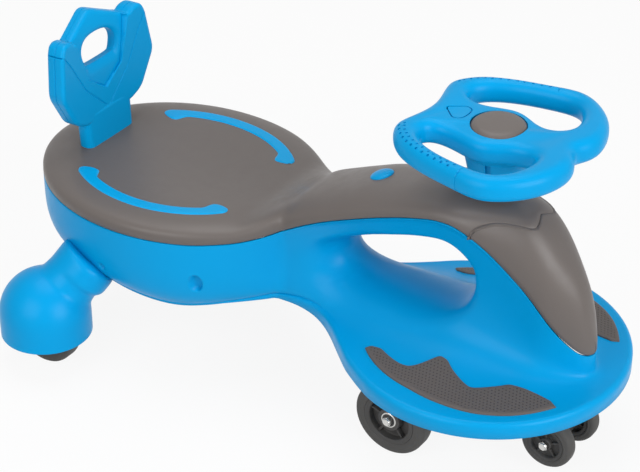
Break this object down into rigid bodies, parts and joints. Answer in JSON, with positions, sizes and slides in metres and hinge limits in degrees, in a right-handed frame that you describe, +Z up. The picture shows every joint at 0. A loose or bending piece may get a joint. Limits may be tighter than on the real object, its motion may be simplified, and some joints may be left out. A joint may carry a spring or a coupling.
{
  "type": "wiggle_car",
  "caption": "Ride-on toy with an oval seat, an arched neck over a round foot plate and a grip wheel whose column steers a wheeled carriage, so swinging it drives the car forward.",
  "frame": {"origin": "on the floor under the middle of the car's box", "axes": "+X forward, +Y to the rider's left, +Z up"},
  "size_m": [0.7552, 0.446, 0.397],
  "materials": {
    "shell_plastic": "smooth moulded, semi-gloss",
    "cover_plastic": "fine satin grain",
    "pad_rubber": "fine dotted grip texture",
    "tyre": "moulded tread, satin",
    "wheel_core": "moulded, ribbed",
    "bush_plastic": "plain moulded",
    "yoke_plastic": "plain moulded",
    "hardware_steel": "bright zinc"
  },
  "bodies": {
    "chassis": {"body_shell": "shell_plastic", "seat_cover": "cover_plastic", "nose_cover": "cover_plastic", "seat_stripe_right": "shell_plastic", "seat_stripe_left": "shell_plastic", "backrest": "shell_plastic", "neck_plug": "shell_plastic", "foot_pad_right": "pad_rubber", "foot_pad_left": "pad_rubber", "rear_leg_right": "shell_plastic", "rear_leg_left": "shell_plastic", "leg_screws": "hardware_steel", "cover_screws": "hardware_steel", "side_screws": "hardware_steel", "backrest_pin": "hardware_steel", "rear_axle_pins": "hardware_steel", "lower_bush": "bush_plastic", "upper_bush": "bush_plastic"},
    "steering": {"steering_wheel": "shell_plastic", "hub_cap": "cover_plastic", "steering_shaft": "hardware_steel", "wheel_screw": "hardware_steel", "thrust_washer": "hardware_steel", "front_yoke": "yoke_plastic", "yoke_nut": "hardware_steel", "front_axle_bolts": "hardware_steel", "front_axle_nuts": "hardware_steel", "tip_axle_bolt": "hardware_steel", "tip_axle_nut": "hardware_steel"},
    "front_wheel_right": {"front_tyre_right": "tyre", "front_core_right": "wheel_core", "front_bearings_right": "hardware_steel"},
    "front_wheel_left": {"front_tyre_left": "tyre", "front_core_left": "wheel_core", "front_bearings_left": "hardware_steel"},
    "tip_wheel_right": {"tip_tyre_right": "tyre", "tip_core_right": "wheel_core"},
    "tip_wheel_left": {"tip_tyre_left": "tyre", "tip_core_left": "wheel_core"},
    "rear_wheel_right": {"rear_tyre_right": "tyre", "rear_core_right": "wheel_core", "rear_bearings_right": "hardware_steel"},
    "rear_wheel_left": {"rear_tyre_left": "tyre", "rear_core_left": "wheel_core", "rear_bearings_left": "hardware_steel"}
  },
  "joints": [
    {"name": "steering_turn", "type": "hinge", "parent": "chassis", "child": "steering", "pos_m": [0.218, 0, 0.2], "axis": [0, 0, 1], "continuous": true},
    {"name": "front_spin_right", "type": "hinge", "parent": "steering", "child": "front_wheel_right", "pos_m": [0.153, -0.088, 0.045], "axis": [0, 1, 0], "continuous": true},
    {"name": "front_spin_left", "type": "hinge", "parent": "steering", "child": "front_wheel_left", "pos_m": [0.153, 0.088, 0.045], "axis": [0, 1, 0], "continuous": true},
    {"name": "tip_spin_right", "type": "hinge", "parent": "steering", "child": "tip_wheel_right", "pos_m": [0.315, -0.028, 0.041], "axis": [0, 1, 0], "continuous": true},
    {"name": "tip_spin_left", "type": "hinge", "parent": "steering", "child": "tip_wheel_left", "pos_m": [0.315, 0.028, 0.041], "axis": [0, 1, 0], "continuous": true},
    {"name": "rear_spin_right", "type": "hinge", "parent": "chassis", "child": "rear_wheel_right", "pos_m": [-0.281, -0.169, 0.045], "axis": [0, 1, 0], "continuous": true},
    {"name": "rear_spin_left", "type": "hinge", "parent": "chassis", "child": "rear_wheel_left", "pos_m": [-0.281, 0.169, 0.045], "axis": [0, 1, 0], "continuous": true}
  ]
}
